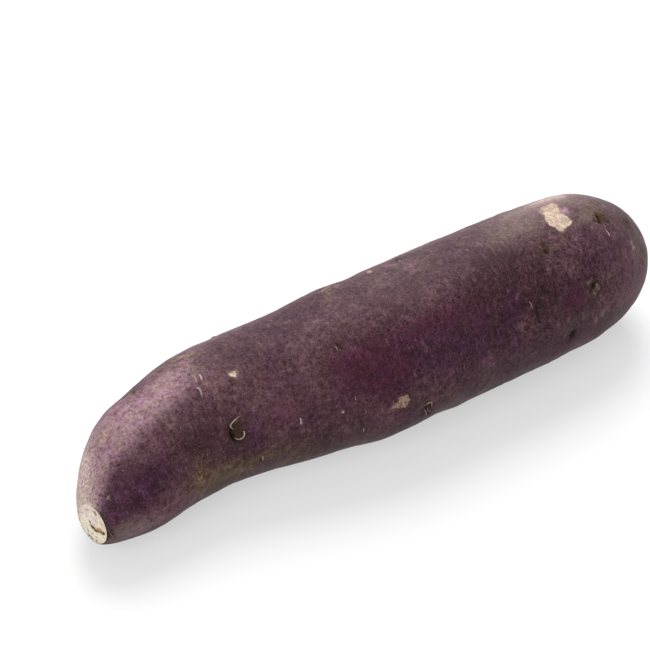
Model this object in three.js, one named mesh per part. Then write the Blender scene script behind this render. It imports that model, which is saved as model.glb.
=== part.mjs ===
// A whole purple sweet potato, lying on its side, with its stem cut off square.
// Millimetres. +X runs from the cut stem end to the rounded root end, +Z is up, and the
// origin is on the surface that it lies on, under the middle of its length and width.
import * as THREE from "three";
import { LoftGeometry } from "three/addons/geometries/LoftGeometry.js";

// Driving dimensions of the whole tuber.
const LENGTH = 222;
const FLATTENING = 0.6; // how far the underside is pressed flat where it rests
const RINGS = 76;
const SIDES = 44;

// The body between its two ends: distance from the cut, sideways drift, half thickness.
const BODY = [
  [0, 1.3, 18.2],
  [25, 4, 20.5],
  [50, 8, 22.6],
  [80, 3.3, 24.7],
  [110, -0.3, 26.8],
  [140, -0.2, 26.8],
  [170, -0.4, 26.8],
  [200, 0.5, 26],
  [LENGTH, 0.5, 25],
];

// The stem end: a flat round cut face, and the blunt shoulder that it sits on.
const CUT = {
  radius: 6.8,
  side: -6.9, // of its middle, along Y
  height: 15, // of its middle, above the surface
  turn: 0.19, // slope of the face towards -Y
  lean: 0.11, // slope of the face upwards
  shoulder: 25, // length over which the body grows to its full girth
  flare: 2.4,
  fullness: 1.2,
};

// The root end: a blunt round tip that closes on the small scar of the tap root.
const TIP = {
  radius: 1.2,
  height: 26.5,
  shoulder: 37,
  flare: 2.4,
  fullness: 1.9,
};

// Low swellings and hollows of the body: place along the length, angle round it (0 at +Y,
// 90 on top, 180 at -Y), reach along and around, and height, which is negative in a hollow.
const SWELLINGS = [
  { at: 20, angle: 221, along: 6, around: 10, height: 0.3 },
  { at: 32, angle: 218, along: 7, around: 12, height: -0.5 },
  { at: 37, angle: 38, along: 8, around: 12, height: 0.4 },
  { at: 101, angle: 222, along: 8, around: 13, height: 0.6 },
  { at: 119, angle: 220, along: 8, around: 13, height: -0.6 },
  { at: 98, angle: 44, along: 8, around: 13, height: 0.5 },
  { at: 110, angle: 46, along: 8, around: 13, height: -0.5 },
  { at: 186, angle: 48, along: 9, around: 12, height: -0.3 },
  { at: 202, angle: 58, along: 8, around: 13, height: 0.3 },
  { at: 66, angle: 335, along: 15, around: 15, height: 0.8 },
  { at: 112, angle: 350, along: 13, around: 14, height: -0.6 },
  { at: 160, angle: 328, along: 16, around: 15, height: 0.7 },
  { at: 140, angle: 236, along: 16, around: 12, height: 0.4 },
];

// The eyes: shallow dimples in rows along the tuber, where fine roots grew.
const EYE_REACH = 3.4;
const EYES = [
  { at: 49, angle: 153, depth: 0.9 },
  { at: 88, angle: 119, depth: 0.5 },
  { at: 112, angle: 192, depth: 0.7 },
  { at: 156, angle: 149, depth: 0.4 },
  { at: 170, angle: 116, depth: 0.8 },
  { at: 171, angle: 182, depth: 0.6 },
  { at: 182, angle: 152, depth: 0.6 },
  { at: 197, angle: 110, depth: 0.9 },
  { at: 127, angle: 62, depth: 0.6 },
  { at: 60, angle: 48, depth: 0.7 },
  { at: 30, angle: 12, depth: 0.6 },
  { at: 78, angle: 355, depth: 0.8 },
  { at: 118, angle: 8, depth: 0.6 },
  { at: 152, angle: 352, depth: 0.8 },
  { at: 190, angle: 15, depth: 0.7 },
  { at: 54, angle: 300, depth: 0.6 },
  { at: 133, angle: 305, depth: 0.6 },
  { at: 182, angle: 300, depth: 0.7 },
  { at: 36, angle: 236, depth: 0.6 },
  { at: 90, angle: 240, depth: 0.7 },
  { at: 146, angle: 228, depth: 0.6 },
  { at: 200, angle: 238, depth: 0.6 },
];

const body = new THREE.CatmullRomCurve3(
  BODY.map(([along, drift, radius]) => new THREE.Vector3(along, drift, radius)),
  false,
  "catmullrom",
  0.5,
);

// How far an end has grown to the full girth: 0 at its face, 1 at its shoulder and beyond.
function grown(distance, end) {
  const left = Math.max(1 - distance / end.shoulder, 0);
  return (1 - left ** end.flare) ** (1 / end.fullness);
}

// A smooth round hill of height 1 at its middle, on the skin of a body of the given radius.
function hill(along, angle, radius, mark, reachAlong, reachAround) {
  const turn = THREE.MathUtils.euclideanModulo(angle - mark.angle + 180, 360) - 180;
  const x = (along - mark.at) / reachAlong;
  const y = (THREE.MathUtils.degToRad(turn) * radius) / reachAround;
  return Math.exp(-(x * x + y * y));
}

// What the swellings add to the radius at one place, less the dimples of the eyes.
function relief(along, angle, radius) {
  let height = 0;
  for (const s of SWELLINGS) height += s.height * hill(along, angle, radius, s, s.along, s.around);
  for (const e of EYES) height -= e.depth * hill(along, angle, radius, e, EYE_REACH, EYE_REACH);
  return height;
}

// One ring of the skin, square to the length except near the cut, where it turns to lie in
// the cut face. The share runs from 0 at the cut to 1 at the tip.
function ring(share) {
  const { x: along, y: drift, z: radius } = body.getPoint(share);
  const fromCut = grown(along, CUT);
  const fromTip = grown(LENGTH - along, TIP);
  const { lerp } = THREE.MathUtils;
  const girth = lerp(TIP.radius, lerp(CUT.radius, radius, fromCut), fromTip);
  const middleY = lerp(CUT.side, drift, fromCut);
  const middleZ = lerp(TIP.height, lerp(CUT.height, radius - FLATTENING, fromCut), fromTip);
  return Array.from({ length: SIDES }, (_, side) => {
    const angle = (side / SIDES) * 360;
    const reach = girth + relief(along, angle, girth) * fromCut * fromTip;
    const across = reach * Math.cos(THREE.MathUtils.degToRad(angle));
    const up = reach * Math.sin(THREE.MathUtils.degToRad(angle));
    const slant = (1 - fromCut) * (CUT.lean * up - CUT.turn * across);
    return new THREE.Vector3(along + slant, middleY + across, Math.max(middleZ + up, 0));
  });
}

function makeTuber() {
  // The rings crowd towards the two ends, where the skin turns in.
  const shares = Array.from({ length: RINGS + 1 }, (_, i) => (1 - Math.cos((Math.PI * i) / RINGS)) / 2);
  const geometry = new LoftGeometry(shares.map(ring), { capStart: true, capEnd: true });
  const material = new THREE.MeshStandardMaterial({ color: 0x553a48, roughness: 0.7, metalness: 0 });
  const tuber = new THREE.Mesh(geometry, material);
  tuber.name = "tuber";
  const middle = new THREE.Box3().setFromObject(tuber).getCenter(new THREE.Vector3());
  tuber.position.set(-middle.x, -middle.y, 0);
  return tuber;
}

const sweetPotato = new THREE.Group();
sweetPotato.add(makeTuber());

export default sweetPotato;
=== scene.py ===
# The looks of a whole purple sweet potato that lies on its side, its stem cut off square.
# The skin is one closed surface with its eyes, slits, scabs and peeled patches. The pale cut
# face and the dry rootlets are pieces of their own. Places on the skin are given by their
# distance from the cut and their angle round the body: 0 at +Y, 90 on top, 180 at -Y.
# Shapes are worked out in millimetres, and MM turns them into Blender's metres.
import math

import bpy
import numpy as np
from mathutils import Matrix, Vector


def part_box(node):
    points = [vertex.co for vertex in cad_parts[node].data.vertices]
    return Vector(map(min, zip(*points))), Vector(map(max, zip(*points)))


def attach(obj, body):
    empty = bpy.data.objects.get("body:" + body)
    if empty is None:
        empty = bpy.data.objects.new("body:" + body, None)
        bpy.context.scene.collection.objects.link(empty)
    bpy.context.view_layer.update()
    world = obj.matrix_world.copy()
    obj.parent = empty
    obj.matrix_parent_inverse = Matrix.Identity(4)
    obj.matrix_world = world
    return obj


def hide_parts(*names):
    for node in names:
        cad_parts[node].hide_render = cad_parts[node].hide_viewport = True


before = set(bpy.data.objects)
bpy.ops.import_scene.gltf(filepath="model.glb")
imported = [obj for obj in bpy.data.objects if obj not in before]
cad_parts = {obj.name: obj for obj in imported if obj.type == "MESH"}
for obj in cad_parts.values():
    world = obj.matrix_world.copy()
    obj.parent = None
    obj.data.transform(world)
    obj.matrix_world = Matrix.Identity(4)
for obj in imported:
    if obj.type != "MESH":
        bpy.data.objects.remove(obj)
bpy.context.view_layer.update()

MM = 0.001

# ---- the body, as the CAD has it

LENGTH = 222
FLATTENING = 0.6  # how far the underside is pressed flat where it rests

# Distance from the cut, sideways drift, half thickness.
BODY = np.array([
    (0, 1.3, 18.2),
    (25, 4, 20.5),
    (50, 8, 22.6),
    (80, 3.3, 24.7),
    (110, -0.3, 26.8),
    (140, -0.2, 26.8),
    (170, -0.4, 26.8),
    (200, 0.5, 26),
    (LENGTH, 0.5, 25),
])
# The two ends: the radius of the face, where its middle lies and, at the cut, how far its
# plane turns sideways and leans. The body widens from the face to full girth at the shoulder,
# by the powers flare and fullness.
CUT = {
    "radius": 6.8, "side": -6.9, "height": 15, "turn": 0.19, "lean": 0.11,
    "shoulder": 25, "flare": 2.4, "fullness": 1.2,
}
TIP = {"radius": 1.2, "height": 26.5, "shoulder": 37, "flare": 2.4, "fullness": 1.9}

# Low swellings: place, angle, reach along, reach around, height.
SWELLINGS = [
    (20, 221, 6, 10, 0.3), (32, 218, 7, 12, -0.5), (37, 38, 8, 12, 0.4), (101, 222, 8, 13, 0.6),
    (119, 220, 8, 13, -0.6), (98, 44, 8, 13, 0.5), (110, 46, 8, 13, -0.5), (186, 48, 9, 12, -0.3),
    (202, 58, 8, 13, 0.3), (66, 335, 15, 15, 0.8), (112, 350, 13, 14, -0.6),
    (160, 328, 16, 15, 0.7), (140, 236, 16, 12, 0.4),
]

# Eyes: place, angle, depth of the dimple.
EYES = [
    (49, 153, 0.9), (88, 119, 0.5), (112, 192, 0.7), (156, 149, 0.4), (170, 116, 0.8),
    (171, 182, 0.6), (182, 153, 0.6), (197, 109, 0.9),
]
EYE_REACH = 3.4  # of every dimple

# ---- marks on the skin

# Pits and slits: place, angle, half length along, half width around, turn in degrees, depth.
PITS = [
    (47.9, 154.8, 0.7, 2.2, 0, 1.5), (48.3, 151.6, 0.65, 0.6, 0, 1),
    (48.6, 161.4, 0.9, 0.35, -15, 0.6), (197.2, 108.8, 0.8, 1.3, 10, 1.3),
    (195.5, 108, 0.7, 0.4, 0, 0.6), (197.6, 104.6, 0.4, 0.8, 0, 0.5),
    (200, 112.4, 0.55, 0.65, 0, 0.8), (182.4, 153.4, 0.8, 1.3, 25, 0.9),
    (172.2, 185.5, 1.1, 1.7, 15, 1.1), (170.6, 115.8, 0.35, 0.9, 0, 0.7),
    (171.9, 112.4, 0.25, 1.5, -28, 0.35), (170.3, 112, 0.22, 1.5, 10, 0.3),
    (112.4, 193.4, 0.65, 1.7, 8, 1.1), (113.2, 189.8, 0.4, 0.8, 0, 0.7),
    (113.4, 201, 0.5, 1.3, 8, 0.9), (112.1, 185.4, 0.35, 0.45, 0, 0.5),
    (88.5, 118.5, 0.45, 1.5, -8, 0.6), (55.6, 189.5, 0.4, 1.2, 8, 0.5),
    (209.3, 115.5, 0.6, 0.8, 0, 0.5), (157.6, 152.4, 0.5, 2.3, 12, 0.9),
    (28.4, 60, 0.5, 0.7, 0, 0.4), (71, 116, 0.4, 1, 20, 0.3), (94.2, 147.5, 0.4, 0.9, 0, 0.4),
]

# Dried soil round the eyes: place, angle, reach along, reach around, strength.
STAINS = [
    (48.2, 152, 2.2, 2.8, 1.3), (49.6, 157.5, 2.4, 2, 1.1), (49, 165, 3, 3.4, 0.5),
    (49.2, 146.4, 2.6, 2.6, 0.5), (198.3, 106.5, 3.4, 3.6, 0.95), (182.4, 153.6, 2.4, 2.6, 0.8),
    (170, 115, 3, 3.6, 0.6), (111.7, 190, 2.4, 4.4, 0.6), (172, 185, 2.4, 3, 0.4),
    (209, 116, 3, 3, 0.6), (28, 60, 3, 3, 0.6), (55.6, 190, 2, 3, 0.4), (1, 170, 1.5, 3.2, 0.6),
    (0.9, 184, 1.8, 2.4, 0.5), (187.9, 86.4, 0.9, 0.5, 0.8), (56.2, 106, 1.2, 0.7, 0.9),
    (54.2, 112.4, 1.2, 0.8, 0.9), (42.9, 111.5, 0.8, 2, 0.8),
]

# Eyes on the far side and the underside, each with its pit and its soil: place, angle, depth
# of the dimple, then what PITS and STAINS give after the place and angle.
FAR_EYES = [
    (127, 62, 0.6, (0.7, 1.3, 10, 0.9), (4, 4, 0.7)),
    (60, 48, 0.7, (0.8, 1, 0, 0.9), (3.5, 4, 0.8)),
    (30, 12, 0.6, (0.6, 1.2, -10, 0.7), (3.5, 3.5, 0.6)),
    (78, 355, 0.8, (0.9, 1.5, 15, 1.1), (4.5, 4.5, 0.9)),
    (118, 8, 0.6, (0.5, 1.8, 5, 0.8), (3, 4.5, 0.6)),
    (152, 352, 0.8, (1, 1.3, 0, 1.1), (4.5, 5, 0.9)),
    (190, 15, 0.7, (0.8, 1.2, 25, 0.9), (4, 4, 0.7)),
    (54, 300, 0.6, (0.5, 1.4, 0, 0.7), (3, 4, 0.6)),
    (133, 305, 0.6, (0.7, 1, 0, 0.8), (4, 4, 0.7)),
    (182, 300, 0.7, (0.8, 1.2, 0, 0.8), (3.6, 4, 0.7)),
    (36, 236, 0.6, (0.6, 0.9, 0, 0.6), (3, 3, 0.6)),
    (90, 240, 0.7, (0.9, 1.2, 20, 0.9), (4, 4, 0.8)),
    (146, 228, 0.6, (0.5, 1.6, 10, 0.7), (3, 4, 0.6)),
    (200, 238, 0.6, (0.7, 1, 0, 0.8), (3.6, 3.6, 0.7)),
]
for place, angle, dimple, pit, soil in FAR_EYES:
    EYES.append((place, angle, dimple))
    PITS.append((place, angle, *pit))
    STAINS.append((place, angle, *soil))

# Where the skin is scratched across its length: place, angle, reaches, strength.
SCRATCHED = [
    (109, 162, 7, 12, 1), (94, 186, 5, 6, 0.9), (75, 184, 10, 6, 0.5), (132, 172, 14, 10, 0.45),
    (52, 188, 12, 5, 0.4), (46, 100, 8, 5, 0.6), (150, 100, 12, 8, 0.4), (90, 20, 16, 14, 0.7),
    (150, 320, 20, 14, 0.6), (60, 280, 18, 12, 0.6),
]

# Outlines of the peeled patches, where the pale flesh shows: place, angle.
PEELED = [
    [
        (181.2, 75.8), (184.8, 73.5), (187.2, 74.5), (189.4, 76.5), (187.8, 81.5), (187, 85.5),
        (186.4, 90), (186.2, 95.5), (186.6, 101), (185.3, 103.4), (183.2, 104), (180.9, 107),
        (179.7, 105.5), (179.5, 101.5), (178.5, 97.5), (178.5, 92.5), (179.9, 88), (180.2, 82),
    ],
    [(54.5, 106.6), (56.9, 108.6), (56.1, 113.6), (54.5, 111.2)],
]

# Where a peeled patch is duller: place, angle, reach along, reach around, strength.
WORN = [(181, 77, 4, 4, 0.85), (54.8, 107, 1.4, 1.4, 0.6)]

# Corky scabs: place, angle, half length along, half width around, turn, height, paleness.
SCABS = [
    (102.6, 174.8, 2.2, 2.6, -20, 0.25, 0.15), (100.6, 176, 1.5, 1.6, -35, 0.14, 0.05),
    (99, 177, 1.2, 0.8, -35, 0.06, 0), (3.6, 121, 0.5, 0.45, 0, 0.1, 0),
    (82.6, 166.5, 0.7, 0.7, 0, 0.12, 0.7), (180.4, 150, 0.5, 0.4, 30, 0.1, 0.3),
    (181.9, 148.8, 0.35, 0.35, 0, 0.08, 0.2), (182.2, 158.4, 0.45, 0.4, 0, 0.1, 0.4),
    (183.9, 153.4, 0.3, 0.4, 0, 0.1, 0), (193.9, 110.8, 0.5, 0.4, 0, 0.08, 0),
    (197.2, 115.4, 0.35, 0.5, 0, 0.1, 0.1), (140, 20, 2.4, 1.5, 30, 0.22, 0.2),
    (66, 322, 1.4, 2.2, 0, 0.22, 0.25), (168, 268, 1.5, 1.2, 0, 0.2, 0.2),
    (115, 64, 1.2, 2, 20, 0.2, 0.2),
]

# Where the skin takes another colour, some of it painted highlight, sheen and shade: place, angle,
# reach along, reach around, strength.
TINTS = {
    "violet": [
        # The violet across the middle, from about 105 to 155 along and 135 to 155 round, is partly
        # painted shade.
        (8, 151, 8, 10, 1.15), (17, 146, 9, 8, 0.7), (85, 156, 3.2, 3.8, 1.3),
        (55.6, 164, 4, 4, 0.7), (114, 145, 14, 11, 0.8), (133, 150, 9, 9, 0.5),
        (138, 168, 14, 10, 0.5), (151, 142, 6, 6, 0.6), (165, 180, 12, 7, 0.4),
        (26, 300, 14, 18, 0.9), (90, 330, 20, 18, 0.7), (165, 20, 22, 16, 0.6),
        (120, 270, 24, 16, 0.5),
    ],
    "magenta": [
        (97, 148, 11, 13, 1), (86, 138, 7, 8, 0.5), (173.5, 156, 5, 5, 1.2), (26, 54, 7, 4, 0.8),
        (176, 193, 14, 4, 0.8), (154, 197, 16, 4, 0.5), (112, 194, 22, 6, 0.45),
        (118, 128, 9, 4, 0.5), (66, 150, 10, 9, 0.5), (134, 132, 12, 7, 0.5), (18, 58, 7, 6, 0.7),
        (60, 20, 12, 12, 0.7), (135, 340, 12, 12, 0.7), (185, 270, 12, 12, 0.5),
    ],
    # This dark brown tint is also painted shade: the band from about 110 to 165 along and 114 to
    # 147 round, and the underside rim from 140 to 185 along.
    "umber_and_shade": [
        (43, 193, 8, 6, 0.5), (76, 200, 14, 6, 0.45), (150, 197, 12, 5, 0.7),
        (166, 196, 9, 5, 0.6), (182, 194, 12, 5, 0.9), (37, 141, 8, 6, 0.7),
        (152, 114, 14, 10, 0.95), (150, 130, 14, 6, 0.7), (104, 183, 6, 4, 0.5),
        (146, 147, 17, 10, 0.8), (160, 134, 8, 8, 0.7), (158, 122, 8, 6, 0.6),
        (166, 158, 6, 5, 0.5), (209, 116, 4, 4, 0.6), (112, 135, 12, 6, 0.5),
    ],
    "olive": [
        (34, 170, 6, 6, 0.75), (33, 184, 9, 4, 0.7), (48, 185, 10, 5, 0.55), (66, 186, 9, 5, 0.35),
        (47, 203, 14, 6, 0.4), (72, 204, 12, 5, 0.35), (47.4, 67, 6, 7, 0.4),
        (160, 96, 10, 9, 0.2), (206, 150, 4, 4, 0.4), (198.5, 103, 4.4, 4.4, 0.8),
        (26, 88, 6, 5, 0.35), (20, 180, 8, 4, 0.4), (40, 330, 14, 12, 0.5), (105, 20, 14, 14, 0.4),
        (200, 320, 10, 12, 0.5), (75, 280, 20, 14, 0.5), (160, 290, 18, 14, 0.5),
    ],
    "brick": [
        (18, 122, 10, 5, 0.45), (34, 114, 9, 4, 0.2), (49, 108, 10, 7, 0.35),
        (27, 160, 8, 6, 0.35), (12, 187, 12, 6, 0.9), (25, 183, 8, 5, 0.5), (28, 200, 12, 5, 0.35),
        (208, 186, 8, 6, 0.5), (64, 152, 12, 9, 0.5), (97.4, 178, 2.2, 1.2, 0.6),
        (97, 191, 6, 4, 0.5), (91, 167, 6, 5, 0.4), (82, 150, 8, 8, 0.3), (158, 168, 12, 6, 0.25),
        (152, 157, 4, 4, 0.5), (137, 172, 6, 5, 0.4), (122, 180, 5, 4, 0.35),
        (202, 160, 9, 11, 0.8), (190, 174, 10, 6, 0.45), (110, 170, 12, 8, 0.3),
        (66, 128, 12, 6, 0.25), (90, 100, 20, 8, 0.3), (60, 320, 16, 10, 0.5),
    ],
    # This pale lilac tint is partly dusty bloom and partly painted highlight: the lighter top of
    # the near end and its rim by the cut, and a painted reflection on the underside by the cut.
    "bloom_and_highlight": [
        (4, 61, 7, 6.5, 1.1), (9, 78, 8, 6.5, 0.75), (18, 87, 9, 8.5, 0.78),
        (36, 85, 12, 8.5, 0.8), (12, 36, 12, 9, 0.5), (6, 8, 8, 8, 0.4), (11, 196, 9, 4, 0.45),
        (60, 50, 20, 10, 0.4), (130, 40, 24, 12, 0.4), (182, 66, 20, 7, 0.45),
    ],
    # This grey tint is partly grey dust and partly painted sheen: the grey band along the top of
    # the far end, and a painted reflection on the underside rim by the cut.
    "grey_dust_and_sheen": [
        (162, 84, 12, 8, 0.4), (178, 84, 14, 10, 0.45), (200, 80, 12, 10, 0.5),
        (192, 102, 5, 4, 0.4), (197, 150, 6, 6, 0.25), (180, 68, 18, 7, 0.6),
        (120, 80, 26, 10, 0.3), (3, 192, 6, 4, 0.8), (9, 190, 7, 4.5, 0.75), (15, 197, 8, 4, 0.25),
        (210, 300, 8, 20, 0.6),
    ],
    # This tint is partly the pale rim at the cut and partly painted highlight: the upper left rim
    # by the cut and the top of the far end.
    "pale": [
        (3, 46, 7, 7.5, 0.8), (0, 20, 3, 5, 1.1), (0, 330, 3, 6, 0.9), (0, 285, 2, 5, 0.8),
        (192, 62, 12, 6, 0.6),
    ],
    "rose": [
        (21, 62, 6, 5, 0.6), (27, 78, 6, 5, 0.4), (177.4, 90.6, 1.3, 0.8, 0.6),
        (187.6, 88.8, 1.7, 2.1, 1.3), (120, 350, 8, 8, 0.5),
    ],
    "straw": [
        (181.2, 150, 1.6, 1.6, 0.7), (182.6, 158, 1.8, 1.4, 0.7), (184.4, 153, 1.2, 1.6, 0.5),
        (13, 75, 2.6, 3, 0.8), (27, 61, 3, 2.4, 0.7), (47.4, 67, 3, 3, 0.6),
        (34, 174, 2.4, 2.4, 0.6), (206, 139, 1.2, 2.4, 0.8), (100, 60, 6, 4, 0.4),
        (70, 20, 5, 5, 0.4), (170, 330, 5, 5, 0.4),
    ],
}

# ---- small sums


def mix(low, high, share):
    """From low to high in a straight line as the share runs from 0 to 1."""
    return low + (high - low) * share


def ramp(low, high, value):
    """0 at low, 1 at high and beyond, and 3t^2 - 2t^3 between them, t being the share."""
    t = np.clip((value - low) / (high - low), 0, 1)
    return t * t * (3 - 2 * t)


def around_from(angle, middle, girth):
    """Arc length in mm from the middle angle to the angle, on a circle of the girth."""
    return np.radians((angle - middle + 180) % 360 - 180) * girth


def waves(points, length, seed, count=40):
    """A smooth random field of about -1 to 1: the mean of sine waves of about one wavelength,
    which run in directions spread over the sphere."""
    draw = np.random.default_rng(seed)
    directions = draw.normal(size=(count, 3))
    directions /= np.linalg.norm(directions, axis=1)[:, None]
    directions *= 2 * math.pi / (length * draw.uniform(0.7, 1.4, (count, 1)))
    phases = draw.uniform(0, 2 * math.pi, count)
    return np.sin(points @ directions.T + phases).sum(-1) * math.sqrt(2 / count) / 2


def curve_through(given, place):
    """The points at the places, counted in rows, on a uniform Catmull-Rom curve through the
    given rows: between two of them it is the cubic whose slope at each is half of the step
    between that one's neighbours."""
    rows = np.vstack([2 * given[0] - given[1], given, 2 * given[-1] - given[-2]])
    first = np.clip(np.floor(place).astype(int), 0, len(given) - 2)
    t = (place - first)[..., None]
    a, b, c, d = (rows[first + k] for k in range(4))
    bend = (2 * a - 5 * b + 4 * c - d) / 2 + t * (3 * b - 3 * c + d - a) / 2
    return b + t * ((c - a) / 2 + t * bend)


def grown(distance, end):
    """How far an end has grown to full girth: 0 at its face, 1 from its shoulder on."""
    left = np.maximum(1 - distance / end["shoulder"], 0)
    return (1 - left ** end["flare"]) ** (1 / end["fullness"])


def apart(where, mark):
    """How far in mm the places lie from the mark, along the body and round it. The places are
    three arrays: distance from the cut, angle and girth."""
    along, angle, girth = where
    return along - mark[0], around_from(angle, mark[1], girth)


def heaped(where, marks):
    """Bells added up, one for each mark: its height times e to the minus square of the
    distance from it, counted along and around as shares of its two reaches."""
    total = 0
    for place, angle, reach_along, reach_around, height in marks:
        x, y = apart(where, (place, angle))
        total = total + height * np.exp(-((x / reach_along) ** 2 + (y / reach_around) ** 2))
    return total


def bare_skin(share, angle):
    """The body without fine relief. Each ring is a circle in the plane across the length,
    its middle drifting along Y and Z; near the cut it slants to lie in the cut face, and
    below the surface it is pressed flat. Gives points, distance from the cut and girth."""
    curve = curve_through(BODY, share * (len(BODY) - 1))
    along, drift, radius = (curve[..., k] for k in range(3))
    from_cut, from_tip = grown(along, CUT), grown(LENGTH - along, TIP)
    girth = mix(TIP["radius"], mix(CUT["radius"], radius, from_cut), from_tip)
    middle_y = mix(CUT["side"], drift, from_cut)
    middle_z = mix(TIP["height"], mix(CUT["height"], radius - FLATTENING, from_cut), from_tip)
    where = (along, angle, girth)
    dimples = [(place, turn, EYE_REACH, EYE_REACH, depth) for place, turn, depth in EYES]
    relief = heaped(where, SWELLINGS) - heaped(where, dimples)
    reach = girth + relief * from_cut * from_tip
    across = reach * np.cos(np.radians(angle))
    up = reach * np.sin(np.radians(angle))
    slant = (1 - from_cut) * (CUT["lean"] * up - CUT["turn"] * across)
    points = np.stack([along + slant, middle_y + across, np.maximum(middle_z + up, 0)], -1)
    return points, along, girth


# The body's own frame starts at the cut; this moves it to the CAD solid's place.
cad_low, cad_high = (np.array(corner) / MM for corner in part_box("tuber"))
rough_shape = bare_skin(np.linspace(0, 1, 300)[:, None], np.arange(0, 360, 2.0)[None, :])[0]
SHIFT = np.array([
    cad_high[0] - LENGTH,
    (cad_low[1] + cad_high[1] - rough_shape[..., 1].min() - rough_shape[..., 1].max()) / 2,
    0,
])


def ring_shares(count):
    """Shares of rings that lie evenly along the skin, measured along its outline."""
    share = np.linspace(0, 1, 4000)
    points = bare_skin(share[:, None], np.array([[90.0, 180.0]]))[0]
    steps = np.linalg.norm(np.diff(points, axis=0), axis=2).mean(1)
    walked = np.concatenate([[0], np.cumsum(steps)])
    return np.interp(np.linspace(0, walked[-1], count), walked, share)


def normals_of(points):
    """Unit normals of a grid that closes on itself along its second axis: the cross product
    of the steps to the neighbours around and along."""
    along = np.gradient(points, axis=0)
    around = np.roll(points, -1, 1) - np.roll(points, 1, 1)
    normal = np.cross(around, along)
    return normal / np.linalg.norm(normal, axis=2, keepdims=True)


# ---- mesh helpers


def linked(name, data):
    """A new object of the scene that holds the data."""
    thing = bpy.data.objects.new(name, data)
    bpy.context.scene.collection.objects.link(thing)
    return thing


def new_piece(name, points, faces, fields):
    """An object at the origin from points in mm, faces and one number a point for each field."""
    mesh = bpy.data.meshes.new(name)
    mesh.from_pydata(((points + SHIFT) * MM).tolist(), [], faces)
    for field, values in fields.items():
        layer = mesh.attributes.new(field, "FLOAT", "POINT")
        layer.data.foreach_set("value", values.astype(np.float32))
    mesh.polygons.foreach_set("use_smooth", np.ones(len(faces), bool))
    mesh.update()
    return linked(name, mesh)


def closed_tubes(name, groups):
    """A mesh of tubes. A group is a pair: an array of tubes by rings by sides of points, and
    its fields, an array of tubes by rings by sides of numbers for each name. Every tube is
    closed round its sides, and by a point in the middle of its first and last ring."""
    points, faces = [], []
    fields = {field: [] for field in groups[0][1]}
    total = 0
    for tubes, values in groups:
        many, rings, sides = tubes.shape[:3]
        place = total + np.arange(many * rings * sides).reshape(many, rings, sides)
        right = np.roll(place, -1, 2)
        quads = np.stack([place[:, :-1], right[:, :-1], right[:, 1:], place[:, 1:]], -1)
        first = total + place.size + np.arange(many)[:, None] + np.zeros((1, sides), int)
        caps = [
            np.stack([first, right[:, 0], place[:, 0]], -1),
            np.stack([place[:, -1], right[:, -1], first + many], -1),
        ]
        faces += quads.reshape(-1, 4).tolist()
        faces += [face for cap in caps for face in cap.reshape(-1, 3).tolist()]
        points += [tubes.reshape(-1, 3), tubes[:, 0].mean(1), tubes[:, -1].mean(1)]
        for field, numbers in values.items():
            fields[field] += [numbers.reshape(-1), numbers[:, 0].mean(1), numbers[:, -1].mean(1)]
        total += place.size + 2 * many
    columns = {field: np.concatenate(numbers) for field, numbers in fields.items()}
    return new_piece(name, np.concatenate(points), faces, columns)


BAKE_MARGIN = 0.003  # share of the map left free along each side


def unroll(piece, rings):
    """The map that the closing bake draws on, for a piece of one tube. Its first axis is the
    share of the way walked along the tube, from pole to pole, and its second the share of
    the way round, so the tube is cut open along one seam and no two faces share a place."""
    poles = [np.broadcast_to(ring.mean(0), ring.shape) for ring in (rings[0], rings[-1])]
    steps = np.diff([poles[0], *rings, poles[1]], axis=0)
    walked = np.concatenate([[0], np.cumsum(np.linalg.norm(steps, axis=2).mean(1))])
    way = (walked / walked[-1])[:, None]
    sides = rings.shape[1]
    low, high = np.arange(sides) / sides, (np.arange(sides) + 1) / sides
    middle = (low + high) / 2

    def placed(*corners):
        pairs = [np.stack(np.broadcast_arrays(*corner), -1) for corner in corners]
        return np.stack(pairs, -2).reshape(-1, 2)

    # The same faces in the same order as closed_tubes makes them.
    corners = np.concatenate([
        placed((way[1:-2], low), (way[1:-2], high), (way[2:-1], high), (way[2:-1], low)),
        placed((way[0], middle), (way[1], high), (way[1], low)),
        placed((way[-2], low), (way[-2], high), (way[-1], middle)),
    ])
    layer = piece.data.uv_layers.new(name="OFBake")
    corners = mix(BAKE_MARGIN, 1 - BAKE_MARGIN, corners)
    layer.data.foreach_set("uv", corners.astype(np.float32).reshape(-1))


# ---- shaders


class Number:
    """A shader value on which +, - and * each add a Math node."""

    def __init__(self, shader, socket):
        self.shader = shader
        self.socket = socket

    def __add__(self, other):
        return self.shader.maths("ADD", self, other)

    def __radd__(self, other):
        return self.shader.maths("ADD", other, self)

    def __sub__(self, other):
        return self.shader.maths("SUBTRACT", self, other)

    def __rsub__(self, other):
        return self.shader.maths("SUBTRACT", other, self)

    def __mul__(self, other):
        return self.shader.maths("MULTIPLY", self, other)

    def __rmul__(self, other):
        return self.shader.maths("MULTIPLY", other, self)


MIDDLE_HEIGHT = 26  # of the body's middle line above the ground


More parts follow.
